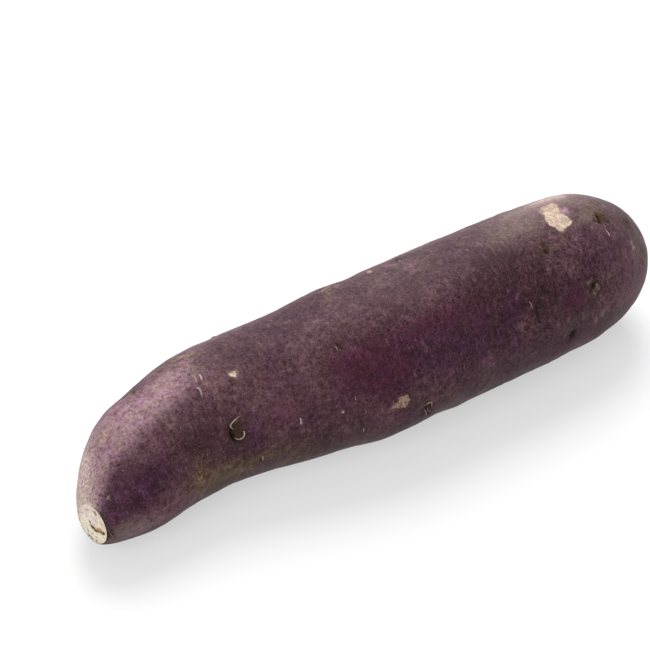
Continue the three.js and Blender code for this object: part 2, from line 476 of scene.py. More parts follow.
class Shader:
    """The nodes of one material or world."""

    def __init__(self, owner):
        owner.use_nodes = True
        self.owner = owner
        self.tree = owner.node_tree
        self.tree.nodes.clear()

    def node(self, kind, settings=None, inputs=None):
        """Any node: its settings are set first, then the values or links of its sockets."""
        made = self.tree.nodes.new(kind)
        for setting, value in (settings or {}).items():
            setattr(made, setting, value)
        for socket, value in (inputs or {}).items():
            if isinstance(value, Number):
                value = value.socket
            if isinstance(value, bpy.types.NodeSocket):
                self.tree.links.new(value, made.inputs[socket])
            else:
                made.inputs[socket].default_value = value
        return made

    def maths(self, operation, *values):
        """The number that a Math node gives."""
        made = self.node("ShaderNodeMath", {"operation": operation}, dict(enumerate(values)))
        return Number(self, made.outputs[0])

    def vector(self, operation, inputs, output=0):
        """The vector or colour that a Vector Math node gives, or another of its outputs."""
        return self.node("ShaderNodeVectorMath", {"operation": operation}, inputs).outputs[output]

    def here(self):
        """The place on the piece, in metres."""
        return self.node("ShaderNodeTexCoord").outputs["Object"]

    def field(self, name):
        """A number that the mesh holds at each point."""
        made = self.node("ShaderNodeAttribute", {"attribute_name": name})
        return Number(self, made.outputs["Fac"])

    def step(self, value, low, high):
        """0 at low, 1 at high, with a smooth rise between."""
        made = self.node(
            "ShaderNodeMapRange",
            {"interpolation_type": "SMOOTHSTEP"},
            {"Value": value, "From Min": low, "From Max": high},
        )
        return Number(self, made.outputs["Result"])

    def noise(self, size, detail=2.0, roughness=0.5, where=None):
        """Soft noise around 0, between about -0.5 and 0.5, with blotches of the size in mm."""
        made = self.node(
            "ShaderNodeTexNoise",
            inputs={
                "Vector": where or self.here(),
                "Scale": 1 / (size * MM),
                "Detail": detail,
                "Roughness": roughness,
            },
        )
        return Number(self, made.outputs[0]) - 0.5

    def threads(self, size, width, where=None):
        """Fine wandering threads: 1 where soft noise crosses 0, and 0 from the width on."""
        return self.step(self.maths("ABSOLUTE", self.noise(size, 2, 0.5, where)), width, 0)

    def stretched(self, factors, where=None):
        """The place, with each axis scaled, so that noise on it is drawn out along an axis."""
        return self.vector("MULTIPLY", {0: where or self.here(), 1: factors})

    def twisted(self, turn_per_mm):
        """The place turned about the length by an angle that grows along it: what runs along
        the length there winds round the body here."""
        apart = self.node("ShaderNodeSeparateXYZ", inputs={0: self.here()})
        made = self.node(
            "ShaderNodeVectorRotate",
            {"rotation_type": "X_AXIS"},
            {
                "Vector": self.here(),
                "Center": (0, 0, MIDDLE_HEIGHT * MM),
                "Angle": Number(self, apart.outputs["X"]) * (turn_per_mm / MM),
            },
        )
        return made.outputs[0]

    def blend(self, factor, under, over):
        """The colour under, with the colour over laid on it by the factor."""
        made = self.node("ShaderNodeMix", {"data_type": "RGBA"}, {0: factor, 6: under, 7: over})
        return made.outputs[2]

    def layered(self, colour, layers):
        """The colour with the layers, pairs of a factor and a colour, laid on it in turn."""
        for factor, over in layers:
            colour = self.blend(factor, colour, over)
        return colour

    def scaled(self, colour, factor):
        """The colour made lighter or darker by the factor."""
        start = colour[:3] if isinstance(colour, tuple) else colour
        return self.vector("SCALE", {0: start, "Scale": factor})

    def dusted(self, colour, factor):
        """The colour made lighter or darker by the factor as grey dust would do it: green
        changes most and red least, so that the hue fades as the colour gets lighter."""
        shares = self.vector("MULTIPLY_ADD", {0: (0.8, 1.2, 1.0), 1: factor, 2: (1, 1, 1)})
        return self.vector("MULTIPLY", {0: colour, 1: shares})

    def seen_directly(self):
        """1 where the camera, a reflection or a ray through glass meets it, and 0 for light."""
        path = self.node("ShaderNodeLightPath")
        camera, glossy, through = (
            Number(self, path.outputs[name])
            for name in ("Is Camera Ray", "Is Glossy Ray", "Is Transmission Ray")
        )
        return self.maths("MINIMUM", camera + glossy + through, 1.0)

    def finish(self, colour, roughness, height, depth, fixed):
        """The surface itself. Height, of about 0 to 1, gives a bump of the depth in mm."""
        bump = self.node("ShaderNodeBump", inputs={"Height": height, "Distance": depth * MM})
        inputs = {"Base Color": colour, "Roughness": roughness, "Normal": bump.outputs[0]}
        surface = self.node("ShaderNodeBsdfPrincipled", inputs={**inputs, **fixed})
        self.node("ShaderNodeOutputMaterial", inputs={"Surface": surface.outputs[0]})
        return self.owner


def paint(red, green, blue):
    """A colour as it looks on a screen, 0 to 255, in the shader's linear numbers, by the
    sRGB curve."""
    shares = np.array([red, green, blue]) / 255
    linear = np.where(shares <= 0.04045, shares / 12.92, ((shares + 0.055) / 1.055) ** 2.4)
    return (*linear.tolist(), 1.0)


SKIN_SURFACE = {"Specular IOR Level": 0.16, "Sheen Weight": 0.08, "Sheen Roughness": 0.4}
DRY_SURFACE = {"Specular IOR Level": 0.25}

PLUM = paint(60, 31, 44)
EARTH = paint(69, 43, 48)
# The tone of each tint and how strongly it covers, in the order in which they are laid.
TINT_TONES = {
    # Dark brown, also laid as painted shade.
    "umber_and_shade": (paint(46, 19, 27), 1),
    "violet": (paint(53, 21, 41), 1),
    "magenta": (paint(60, 19, 38), 1),
    "olive": (paint(87, 66, 46), 1),
    "brick": (paint(102, 68, 78), 0.7),
    # Grey dust, also laid as painted sheen.
    "grey_dust_and_sheen": (paint(108, 92, 86), 0.75),
    # Pale lilac dust, also laid as painted highlight.
    "bloom_and_highlight": (paint(150, 120, 126), 0.8),
    # Pale dust, also laid as painted highlight.
    "pale": (paint(200, 176, 168), 0.9),
    "rose": (paint(150, 112, 130), 0.8),
    "straw": (paint(164, 138, 112), 0.7),
}
SOFT_TINTS = ("bloom_and_highlight", "pale", "brick", "grey_dust_and_sheen")  # those whose edges are less ragged
SCURF = paint(110, 80, 84)
SCURF_ON_VIOLET = paint(102, 60, 84)
THREAD = paint(134, 102, 110)
SPECK = paint(158, 128, 124)
PORE = paint(34, 17, 20)
SOIL = paint(58, 41, 23)
CORK = paint(160, 127, 106)
CORK_SHADE = paint(88, 60, 44)
CREAM = paint(208, 191, 170)
CREAM_SHADE = paint(170, 148, 132)
HOLE = paint(30, 17, 10)
# Dark brown skin at the cut's edge, partly painted shade on the side round LIP_SIDE.
LIP_AND_SHADE = paint(46, 31, 25)
HEM = paint(206, 192, 174)
# What the skin's colour is multiplied by where its hue drifts to cool and to warm.
COOLER = (1.04, 0.965, 1.09, 1)
WARMER = (0.99, 1.005, 0.92, 1)


def skin_material():
    """The dusty purple skin: a plum ground that drifts to brown, under patches of other
    tints, some of them partly painted highlight, sheen and shade, a sandy grain, pale scurf drawn
    out round the body, and fine threads. Over it come the soil round the eyes, corky scabs, the
    peeled patches, the dark edge at the cut, partly painted shade, and the dark of the pits."""
    s = Shader(bpy.data.materials.new("purple_skin"))
    blotch = s.noise(16, 3)
    cloud = s.noise(6, 4, 0.6)
    curd = s.noise(2.1, 3, 0.6)
    grain = s.noise(0.8, 2, 0.6)
    fine = s.noise(0.4, 1)
    hue = s.noise(4.4, 1)
    streak = s.noise(0.7, 3, 0.6, s.stretched((1, 0.14, 0.14)))
    winding = [s.stretched((0.12, 1, 1), s.twisted(turn)) for turn in (1 / 30, -1 / 26)]
    fibre = [s.noise(0.6, 2, 0.6, where) for where in winding]
    web = [s.threads(2.6, 0.014, where) for where in (s.stretched((1, 0.5, 0.5)), winding[0])]

    ragged = 1 + cloud * 1.8 + curd
    soft = 1 + cloud * 0.6 + curd * 0.3
    amount = {
        name: s.step(s.field(name) * (soft if name in SOFT_TINTS else ragged), 0.05, 0.85)
        for name in TINTS
    }
    amount["straw"] = amount["straw"] * s.step(grain + curd, -0.1, 0.2)
    ground = s.blend(s.step(blotch + cloud * 0.5, -0.16, 0.16), PLUM, EARTH)
    colour = s.layered(ground, [
        (amount[name] * cover, tone) for name, (tone, cover) in TINT_TONES.items()
    ])

    dust = 1 - amount["violet"] * 0.25 - amount["magenta"] * 0.4 - amount["umber_and_shade"] * 0.3
    purple = s.maths("MAXIMUM", amount["violet"], amount["magenta"])
    dusting = s.blend(purple, SCURF, SCURF_ON_VIOLET)
    scurf = s.step(streak * 0.9 + curd * 0.5 + cloud * 0.4, 0, 0.3)
    colour = s.layered(colour, [
        (scurf * dust * 0.4, dusting),
        (s.step(cloud + curd * 0.4, 0.05, 0.3) * dust * 0.3, dusting),
    ])
    curls = s.threads(2.2, 0.12) - 0.4
    sand = grain * 1.8 + streak * 0.9 + fine * 0.5
    sand = sand + (curd * 1.1 + cloud * 0.6 + curls * 0.4) * s.field("mottled")
    rough = 1 - amount["grey_dust_and_sheen"] * 0.4 - amount["bloom_and_highlight"] * 0.2 - amount["magenta"] * 0.2
    colour = s.dusted(colour, sand * rough)
    drift = s.blend(s.step(hue, -0.2, 0.2), COOLER, WARMER)
    colour = s.vector("MULTIPLY", {0: colour, 1: drift})

    dashes = s.step(streak + fine * 0.4, 0.1, 0.26) * s.field("scratched")
    threads = s.maths("MAXIMUM", *(s.step(noise, 0.12, 0.26) for noise in fibre))
    freckle = s.step(fine * 1.3 - grain * 0.7, 0.08, 0.3)
    # Where the skin is pale with dust and with painted highlight.
    dusted_and_highlit = s.maths("MAXIMUM", amount["bloom_and_highlight"], amount["pale"])
    soil = s.step(s.field("stain") + curd * 0.9, 0.15, 1)

    edge = curd * 1.1 + grain * 0.7
    scab = s.step(s.field("scab") + edge * 1.5, 0.2, -0.55)
    cork = s.blend(s.field("scab_paleness") + s.step(curd, 0, 0.2) * 0.4, CORK, CREAM)
    cork = s.blend(s.step(grain + curd * 0.6, 0.02, -0.16), cork, CORK_SHADE)

    torn = s.field("peel") + edge * 1.6
    worn = s.step(s.field("worn") + curd + grain, 0.2, 0.9)
    bare = s.step(torn, 0.12, -0.12) * (1 - worn * 0.75)
    flesh = s.blend(s.step(curd + grain * 0.8, -0.15, 0.15), CREAM, CREAM_SHADE)
    flesh = s.blend(s.step(grain + fine * 0.5, -0.02, -0.17) * 0.8, flesh, CORK)

    colour = s.layered(colour, [
        (dashes * 0.6, THREAD),
        (threads * dust * 0.3, THREAD),
        (s.maths("MAXIMUM", *web) * dust * 0.22, THREAD),
        (s.step(fine + grain * 0.6, 0.17, 0.3) * dust * 0.22, SPECK),
        (freckle * dusted_and_highlit * 0.25, SCURF),
        (s.step(grain + curd * 0.5, -0.17, -0.3) * 0.25, PORE),
        (s.field("rays") * 0.55, PORE),
        (soil * 0.85, s.scaled(SOIL, 1 + grain * 2)),
        (scab * 0.9, cork),
        (s.step(torn, 1, 0) * 0.3, SPECK),
        (bare, s.scaled(flesh, 1 + grain * 0.9 + fine * 0.6)),
        (s.field("hem") * 0.8, s.scaled(HEM, 1 + grain * 2)),
        # The dark edge of the skin at the cut, partly painted shade.
        (s.field("lip_and_shade"), s.scaled(LIP_AND_SHADE, 1 + grain * 2)),
        (s.step(s.field("pit") + grain * 0.7, 0.25, -0.15), HOLE),
    ])
    height = grain * 0.6 + curd * 0.7 + fine * 0.25 + threads * 0.12 + scurf * 0.15
    roughness = 0.62 + grain * 0.3 + soil * 0.15
    return s.finish(colour, roughness, height, 0.18, SKIN_SURFACE)


CUT_CREAM = paint(238, 220, 202)
CUT_YELLOW = paint(238, 228, 206)
CUT_PALE = paint(252, 243, 228)
CUT_GREY = paint(188, 172, 158)
CUT_STAIN = paint(150, 120, 96)
# Marks on the cut, in the order in which they are laid: tone, strength, how softly the mark
# ends, half width, and its lines, whose places are across and up from the cut's middle.
CUT_MARKS = {
    "blush": (paint(240, 216, 208), 0.6, 1.4, 1.5, [[(3.8, 4.4), (0.6, 5.9)]]),
    "lilac": (paint(220, 196, 216), 0.55, 1.2, 0.9, [
        [(3.3, 2.4), (2.8, 2)], [(-0.1, 1.9), (-0.8, 1.7)],
    ]),
    "light": (paint(242, 226, 198), 0.75, 0.7, 0.55, [
        [(-2.7, 1.2), (-3.8, 1.3)], [(0.9, -2.75), (-0.8, -3), (-3.4, -1.7), (-5.5, -1.2)],
        [(4.2, -1.2), (3.6, -3.2)], [(-4.6, -3.2), (-3.2, -4.6)], [(1.2, 1), (0.6, 0.6)],
    ]),
    "dusky": (paint(150, 128, 118), 0.6, 0.6, 0.3, [
        [(5.4, 0.6), (5.3, 0.9)], [(3.6, 3.4), (2.8, 3.9), (2.1, 4.4)], [(-3.6, 2.9), (-3.9, 2.5)],
        [(2.6, -3.6), (1.8, -4.4)], [(-1.6, -4.4), (-2.3, -4.1)], [(0.6, -4.2), (0.2, -4.5)],
    ]),
    "moss": (paint(184, 182, 140), 0.5, 0.8, 0.8, [[(-0.2, 5.2), (-1.1, 4.4)]]),
    "lime": (paint(176, 172, 112), 0.7, 0.4, 0.35, [[(-0.1, -0.3), (-1, -1.3)]]),
    "peach": (paint(240, 214, 180), 0.6, 1.6, 0.9, [[(-2.4, 0.7), (-3.9, 0.9)]]),
    "orange": (paint(186, 146, 102), 0.9, 0.6, 0.62, [[(-2.1, -0.85), (-3.6, 0)]]),
    "brown": (paint(128, 96, 58), 0.85, 0.4, 0.42, [
        [(1.27, -1.4), (0, -1.75), (-1.3, -2), (-3.2, -1), (-4.4, -0.5), (-5.2, -0.3)],
        [(-3.6, -1.1), (-4.6, -0.8)],
    ]),
    "green": (paint(106, 108, 54), 0.85, 0.4, 0.42, [[(-0.4, 5), (-1.05, 4.45)]]),
    "grey": (paint(120, 110, 112), 0.85, 0.4, 0.36, [
        [(1.7, -5.9), (0.1, -6.05)], [(-1.7, -5.7), (-1.85, -5.65)],
    ]),
    "crack": (paint(66, 50, 28), 0.95, 0.3, 0.46, [
        [(0.95, -1.55), (0, -1.75), (-1.2, -1.95)], [(-4.8, -0.45), (-5.3, -0.1)],
        [(-5.1, -0.45), (-5.25, 0)], [(1.62, -0.32), (1.56, -0.36)],
    ]),
}


def cut_material():
    """The dry cut: cream, yellower low down, mottled with paler and greyer crumbs, with a
    darker ring inside the skin and the marks laid over it in turn."""
    s = Shader(bpy.data.materials.new("cut_flesh"))
    cloud = s.noise(2.2, 3, 0.6)
    crumb = s.noise(1, 3, 0.6)
    grain = s.noise(0.45, 2, 0.6)
    ground = s.blend(s.step(s.field("up") + cloud * 0.8, -0.6, 0.3), CUT_YELLOW, CUT_CREAM)
    colour = s.layered(ground, [
        (s.step(crumb + grain * 0.4, 0, 0.18) * 0.75, CUT_PALE),
        (s.step(crumb + cloud * 0.6, -0.04, -0.22) * 0.65, CUT_GREY),
    ])
    colour = s.scaled(colour, 1 + grain * 1.3 + cloud * 0.3)
    colour = s.blend(s.step(s.field("ring") + grain * 0.3, 0.25, 0) * 0.2, colour, CUT_STAIN)
    for name, (tone, strength, softness, *_) in CUT_MARKS.items():
        edge = s.field(name) + (crumb + grain * 0.6) * softness
        amount = s.step(edge, softness * 0.4, softness * -0.4) * strength
        colour = s.blend(amount, colour, s.scaled(tone, 1 + grain * 0.8))
    height = grain * 0.5 + crumb * 0.4
    return s.finish(colour, 0.7 + grain * 0.3, height, 0.14, DRY_SURFACE)


ROOTLET_BROWN = paint(112, 86, 82)
ROOTLET_CREAM = paint(198, 176, 168)


def rootlet_material():
    """Dry rootlets: tan to cream, with fine fibres along them and darker spots."""
    s = Shader(bpy.data.materials.new("dry_rootlet"))
    grain = s.noise(0.5, 3, 0.6)
    colour = s.blend(s.field("paleness"), ROOTLET_BROWN, ROOTLET_CREAM)
    colour = s.scaled(colour, 1 + grain * 1.6)
    colour = s.blend(s.step(grain, 0.05, 0.25) * 0.4, colour, ROOTLET_BROWN)
    return s.finish(colour, 0.75 + grain * 0.2, grain, 0.06, DRY_SURFACE)


# ---- the skin

RINGS = 372
SIDES = 248
FAR_FROM_MARKS = 6  # distances from marks are held as no more than this

# What roughens the skin. Long and short waves: height, length, seed.
SKIN_WAVES = [(0.16, 16, 1), (0.06, 6, 2), (0.02, 2.6, 3)]
CREASE_DEPTH, CREASE_SPACING, CREASE_WANDER = 0.05, 4.3, 2.4
RAYS, RAY_DEPTH = 8, 0.09  # creases that run out from each eye
RAY_RING, RAY_REACH = 2, 1.2  # how far from its middle they are strongest, and their reach
PIT_RIM = 0.1
PEEL_DEPTH, PEEL_RIM = 0.3, 0.12
TIP_HOLLOW = 0.5
TIP_SOIL = (4.5, 2)  # the girths at which the soil at the root tip starts and is full
LIP_SIDE = 165  # the angle about which the cut's edge is dark, and pale beyond
# How the mottling changes with the distance from the cut: by how much, from where, to where.
MOTTLING = [(0.8, 70, 120), (0.3, 118, 138), (-1.6, 184, 200)]

# The skin's turned-in edge at the cut: share of the cut's radius, depth under its plane.
CUFF = [(0.5, 1.1), (0.974, 1.1), (0.982, 0.3), (0.99, 0.03)]
INTO_THE_CUT = np.array([1, CUT["turn"], -CUT["lean"]]) / math.hypot(1, CUT["turn"], CUT["lean"])


def bell(value, middle, width):
    """1 at the middle, and e to the minus square of the distance over the width."""
    return np.exp(-(((value - middle) / width) ** 2))


def oval_edge(where, mark):
    """Distance in mm from the edge of an oval mark, negative inside it: the share of the
    oval's radius less one, times its smaller half width."""
    x, y = apart(where, mark)
    turn = math.radians(mark[4])
    u = (x * math.cos(turn) + y * math.sin(turn)) / mark[2]
    v = (y * math.cos(turn) - x * math.sin(turn)) / mark[3]
    return (np.sqrt(u * u + v * v) - 1) * min(mark[2], mark[3])


def eye_rays(where, eye):
    """Creases that run out from an eye: the cube of a sine that goes round its middle, where
    it is over 0, times a bell of the distance that is 1 on a ring."""
    x, y = apart(where, eye)
    turn = np.arctan2(y, x)
    lobes = np.sin(RAYS * turn + 1.5 * np.sin(3 * turn + eye[0]))
    return bell(np.hypot(x, y), RAY_RING, RAY_REACH) * np.maximum(lobes, 0) ** 3


def outline_edge(x, y, ends):
    """Distance in mm from a closed outline, negative inside it: the least of the distances
    to its sides, with the sign from how many sides lie to one hand."""
    inside = np.zeros(x.shape, bool)
    for (ax, ay), (bx, by) in zip(ends, ends[1:] + ends[:1]):
        crossed = (ay > y) != (by > y)
        with np.errstate(divide="ignore", invalid="ignore"):
            inside ^= crossed & (x < ax + (y - ay) * (bx - ax) / (by - ay))
    away = line_distance(x, y, ends + ends[:1])
    return np.where(inside, -away, away)


def line_distance(x, y, ends):
    """Distance in mm from a bent line: the least of the distances to its straight parts."""
    nearest = np.full(x.shape, np.inf)
    for (ax, ay), (bx, by) in zip(ends, ends[1:]):
        run, rise = bx - ax, by - ay
        share = np.clip(((x - ax) * run + (y - ay) * rise) / (run * run + rise * rise), 0, 1)
        nearest = np.minimum(nearest, np.hypot(x - ax - share * run, y - ay - share * rise))
    return nearest


def skin_fields(along, angle, girth, points):
    """The marks as numbers at each point: the least distance from a pit, a scab and a peeled
    patch, roughened by short waves, and the bells of the soil and the tints added up."""
    where = (along, angle, girth)
    wobble = waves(points, 1.8, 11) * 0.35
    pits = [oval_edge(where, m) + wobble * 0.6 for m in PITS]
    scabs = [oval_edge(where, m) + wobble for m in SCABS]
    peeled = []
    for outline in PEELED:
        middle = outline[0][1]
        radius = np.interp([place for place, _ in outline], along[:, 0], girth[:, 0])
        ends = [(place, around_from(turn, middle, r)) for (place, turn), r in zip(outline, radius)]
        peeled.append(outline_edge(along + 0 * angle, around_from(angle, middle, girth), ends))
    tip = ramp(*TIP_SOIL, girth + 2 * wobble) * (along > LENGTH / 2)
    mottled = sum(change * ramp(start, stop, along) for change, start, stop in MOTTLING)
    from_lip = np.abs(angle - LIP_SIDE)
    fields = {
        "pit": np.minimum.reduce(pits),
        "scab": np.minimum.reduce(scabs),
        "peel": np.minimum.reduce(peeled),
        "scab_paleness": sum(m[6] * (edge < 1.2) for m, edge in zip(SCABS, scabs)),
        "stain": heaped(where, STAINS) + tip,
        "mottled": 1.3 + mottled * ramp(100, 130, angle) * ramp(340, 300, angle),
        "rays": np.minimum(sum(eye_rays(where, m) for m in EYES), 1),
        "hem": ramp(0.7, 0.2, along + 0.4 * wobble) * ramp(50, 90, from_lip),
        # The dark edge at the cut, partly painted shade.
        "lip_and_shade": 0.9 * ramp(0.8, 0.1, along + 0.5 * wobble) * ramp(70, 25, from_lip),
        "scratched": heaped(where, SCRATCHED),
        "worn": heaped(where, WORN),
    }
    fields = {name: np.minimum(values, FAR_FROM_MARKS) for name, values in fields.items()}
    for name, marks in TINTS.items():
        fields[name] = heaped(where, marks)
    return fields, pits, scabs, wobble


def make_skin():
    """The skin's grid: the bare body moved along its normals by long and short waves, by
    creases that run round it, and by the pits, scabs and the peeled patches. Its first rings
    turn in over the edge of the cut."""
    share = ring_shares(RINGS)[:, None]
    angle = (np.arange(SIDES) * 360 / SIDES)[None, :]
    points, along, girth = bare_skin(share, angle)
    fields, pits, scabs, wobble = skin_fields(along, angle, girth, points)

    height = sum(high * waves(points, length, seed) for high, length, seed in SKIN_WAVES)
    run = along + CREASE_WANDER * waves(points, 14, 4)
    creases = np.maximum(np.sin(2 * math.pi * run / CREASE_SPACING), 0) ** 6
    height = height - CREASE_DEPTH * creases * ramp(-0.2, 0.6, waves(points, 22, 5))
    for mark, edge in zip(PITS, pits):
        height = height - mark[5] * ramp(0.35, -0.7, edge) + PIT_RIM * bell(edge, 0.7, 0.5)
    height = height - TIP_HOLLOW * ramp(3, 1.2, girth) * (along > LENGTH / 2)
    for mark, edge in zip(SCABS, scabs):
        height = height + mark[5] * ramp(0.4, -0.4, edge)
    height = height - RAY_DEPTH * fields["rays"]
    torn = fields["peel"] + wobble
    height = height - PEEL_DEPTH * ramp(0.3, -0.3, torn) + PEEL_RIM * bell(torn, 0.5, 0.45)
    calm = ramp(0, 6, along) * ramp(0, 4, LENGTH - along)
    points = points + normals_of(points) * (height * mix(0.25, 1, calm))[..., None]

    edge, middle = points[0], points[0].mean(0)
    cuff = [middle + (edge - middle) * part + INTO_THE_CUT * depth for part, depth in CUFF]
    points = np.concatenate([np.array(cuff), points])
    points[..., 2] = np.maximum(points[..., 2], 0)
    for name, values in fields.items():
        turned_in = np.repeat(values[:1], len(CUFF), 0)
        fields[name] = np.concatenate([turned_in, values])[None]

    skin = closed_tubes("purple_skin", [(points[None], fields)])
    unroll(skin, points)
    skin.data.materials.append(skin_material())
    return skin, points[len(CUFF):], along[:, 0], girth[:, 0]


# ---- the cut face

CUT_RINGS = 64
CUT_SIDES = 168
CUT_SHARE = 0.975  # of the cut's radius that the flesh fills, inside the skin
CUT_THICKNESS = 0.95
RING_AT = 0.9  # the darker ring's share of the radius
# How far the flesh lies under the cut's plane, how much deeper in the middle, and at the rim.
CUT_DEPTH, CUT_DISH, RIM_DEPTH = 0.1, 0.25, 0.16
CUT_WAVES = [(0.12, 2.4, 22), (0.04, 0.8, 23)]  # height, length, seed
FIBRES, FIBRE_DEPTH = 46, 0.03
# How deep the marks hollow the flesh, or raise it where that is below 0, and the distances
# from the mark's edge at which this starts and is full.
CUT_HOLLOWS = {"light": (-0.15, 0.2, -0.4), "green": (0.2, 0.1, -0.2), "grey": (0.3, 0.2, -0.3)}
CRACK_DEPTH, CRACK_HALF_WIDTH = 0.55, 0.25

# The groove that runs from side to side under the longest of the brown lines.
CRACK = CUT_MARKS["brown"][-1][0]


def make_cut():
    """The flesh of the cut: a thin disc whose front dips to the middle by one less the square
    of the share of the radius, with waves, fibres that fan out as a sine of the angle, a crack
    and small hollows. Its rings run out over the front and back in behind it."""
    out = np.linspace(0.01, 1, CUT_RINGS)[:, None]
    angle = np.radians(np.arange(CUT_SIDES) * 360 / CUT_SIDES)[None, :]
    radius = CUT["radius"] * CUT_SHARE
    across, up = radius * out * np.cos(angle), radius * out * np.sin(angle)
    flat = np.stack([across, up, 0 * across], -1)
    crack = line_distance(across, up, CRACK) - CRACK_HALF_WIDTH + 0.2 * waves(flat, 1.4, 21)
    fields = {"up": up / radius, "ring": np.abs(np.hypot(across, up) / radius - RING_AT) * 4}
    for name, (*_, half_width, lines) in CUT_MARKS.items():
        near = np.minimum.reduce([line_distance(across, up, ends) for ends in lines])
        fields[name] = np.minimum(near - half_width, FAR_FROM_MARKS)
    depth = CUT_DEPTH + CUT_DISH * (1 - out ** 2)
    depth = depth - sum(high * waves(flat, length, seed) for high, length, seed in CUT_WAVES)
    depth = depth - FIBRE_DEPTH * out * np.sin(FIBRES * angle + 3 * waves(flat, 3, 24))
    for name, (deep, start, full) in CUT_HOLLOWS.items():
        depth = depth + deep * ramp(start, full, fields[name])
    depth = depth + CRACK_DEPTH * ramp(0.25, -0.25, crack)
    depth = mix(depth, RIM_DEPTH, ramp(0.93, 1, out))

    back = (1, 0.5, 0.02)  # shares of the radius of the rings behind
    rings_across = np.concatenate([across, *(part * across[-1:] for part in back)])
    rings_up = np.concatenate([up, *(part * up[-1:] for part in back)])
    depths = np.concatenate([depth, *(0 * depth[:1] + CUT_THICKNESS for _ in back)])
    plane = CUT["lean"] * rings_up - CUT["turn"] * rings_across
    points = np.stack([plane, CUT["side"] + rings_across, CUT["height"] + rings_up], -1)
    points = points + INTO_THE_CUT * depths[..., None]
    # The sides run the other way round, so that the faces look outward.
    for name, values in fields.items():
        rings = np.concatenate([values, *(values[-1:] for _ in back)])
        fields[name] = rings[None, :, ::-1]
    piece = closed_tubes("stem_cut_flesh", [(points[None, :, ::-1], fields)])
    piece.data.materials.append(cut_material())
    return piece


# ---- dry rootlets

# Points of each rootlet: place, angle, height above the skin. Then its thickness, and how
# pale it is at its two ends.
ROOTLETS = [
    ([(51.5, 143, 0.1), (49.9, 144, 0.35), (48.3, 145.2, 0.55), (47.7, 146.4, 0.58),
      (47.9, 147.8, 0.5), (48.9, 151.8, 0)], 0.46, 0.3, 0.75),
    ([(51.5, 155.4, 0.6), (51.3, 158.6, 0.6), (50.3, 160.6, 0.45), (49, 160.2, 0.3),
      (48.2, 157.2, -0.4)], 0.46, 1, 0),
    ([(49.4, 147.5, 0.05), (50.2, 146.2, 0.08), (50.9, 145.4, 0.05)], 0.25, 0, 0.1),
    ([(196.6, 117.5, 0), (196.5, 120.5, 0.15), (196.5, 124.2, 0.12)], 0.36, 0.15, 0.9),
    ([(155.7, 143.5, 0.05), (156, 146, 0.12), (156.3, 149.5, 0.05)], 0.32, 0.3, 0.4),
    ([(111.5, 189.5, -0.1), (111.9, 186.8, 0.25), (112.8, 185.8, 0.35), (113.6, 188, 0.3),
      (114, 192.5, 0.05)], 0.36, 0.5, 0.8),
    ([(111.7, 195, 0), (112.3, 199, 0.2), (113, 204, 0.05)], 0.32, 0.5, 0.6),
    ([(112.8, 194, 0), (113, 197, 0.15), (113.9, 199, 0)], 0.28, 0.2, 0.4),
    ([(69.1, 160, 0.05), (69.2, 162.5, 0.1), (69, 165.5, 0.02)], 0.5, 0.7, 0.9),
    ([(87.2, 157.5, 0.05), (87.3, 159, 0.12), (87.1, 160.5, 0.05)], 0.42, 0.15, 0.3),
    ([(168.9, 108.5, 0), (169.2, 111, 0.12), (170, 113.5, 0)], 0.2, 0.15, 0.1),
    ([(168.6, 121, 0.05), (169.3, 123, 0.1), (169.7, 124.6, 0.05)], 0.24, 0.3, 0.2),
    ([(171.4, 117, -0.1), (171.3, 119, 0.08), (171.5, 120.5, 0.02)], 0.2, 0, 0.1),
    ([(87.4, 118, 0), (87.6, 119.8, 0.1), (87.5, 121.6, 0.05)], 0.28, 0.2, 0.5),
    ([(56.2, 184.5, 0.05), (56.3, 187.5, 0.15), (56.2, 190.5, 0.05)], 0.42, 0.5, 0.7),
    ([(45.1, 93.5, -0.12), (44.8, 98, -0.02), (44.4, 102.6, -0.12)], 0.8, 0.3, 0.35),
    ([(46.6, 97, -0.05), (46.5, 100, 0.02), (46.2, 103, -0.1)], 0.75, 0.6, 0.7),
    ([(43.3, 106, 0.02), (43.9, 108, 0.05), (43.7, 112, -0.1),
      (43.2, 116.5, -0.22)], 0.75, 0.6, 0.15),
    ([(47.4, 103, 0), (47.2, 107, 0.05), (46.2, 112, 0)], 0.3, 0.1, 0.1),
    ([(90.1, 163.5, 0.05), (90.3, 166, 0.1)], 0.3, 0, 0.15),
    ([(89.7, 170, 0.05), (90, 173, 0.1)], 0.28, 0, 0.15),
    ([(89.2, 188, 0.05), (89.5, 192, 0.12)], 0.36, 0.5, 0.3),
    ([(0.5, 162, 0.05), (0.8, 172, 0.25), (1.7, 187, 0.3), (2.3, 195, 0.2),
      (4.2, 199, 0.1)], 0.26, 0, 0.3),
    ([(221.99, 90, -0.4), (221.99, 90, 0.4), (221.995, 90, 1.2), (221.995, 80, 1.9)], 1.2, 0, 0.1),
    ([(77.6, 351, -0.4), (78.6, 355, 0.5), (80.2, 357, 0.6), (81.4, 354, 0.1)], 0.5, 0.4, 0.8),
    ([(151.5, 348, -0.4), (152.6, 352, 0.4), (153.6, 357, 0.3)], 0.45, 0.3, 0.7),
    ([(190.2, 12, -0.2), (190.4, 16, 0.4), (191.8, 20, 0.1)], 0.4, 0.3, 0.6),
    ([(127.2, 59, -0.2), (127.4, 63, 0.4), (126.4, 67, 0.1)], 0.4, 0.3, 0.7),
    ([(60.2, 45, -0.2), (60.8, 49, 0.3), (62.2, 52, 0.1)], 0.36, 0.3, 0.6),
    ([(90.2, 237, -0.2), (90.8, 242, 0.3), (92, 245, 0.1)], 0.4, 0.3, 0.6),
    ([(54.1, 297, -0.1), (54.3, 302, 0.3), (55.2, 306, 0.1)], 0.36, 0.3, 0.5),
    ([(182.2, 297, -0.2), (182.8, 302, 0.3), (182.2, 306, 0.1)], 0.36, 0.3, 0.6),
]
STRAND_RINGS, STRAND_SIDES = 22, 8
HAIRS = 130
HAIR_SEED = 7
HAIR_RINGS, HAIR_SIDES = 9, 5


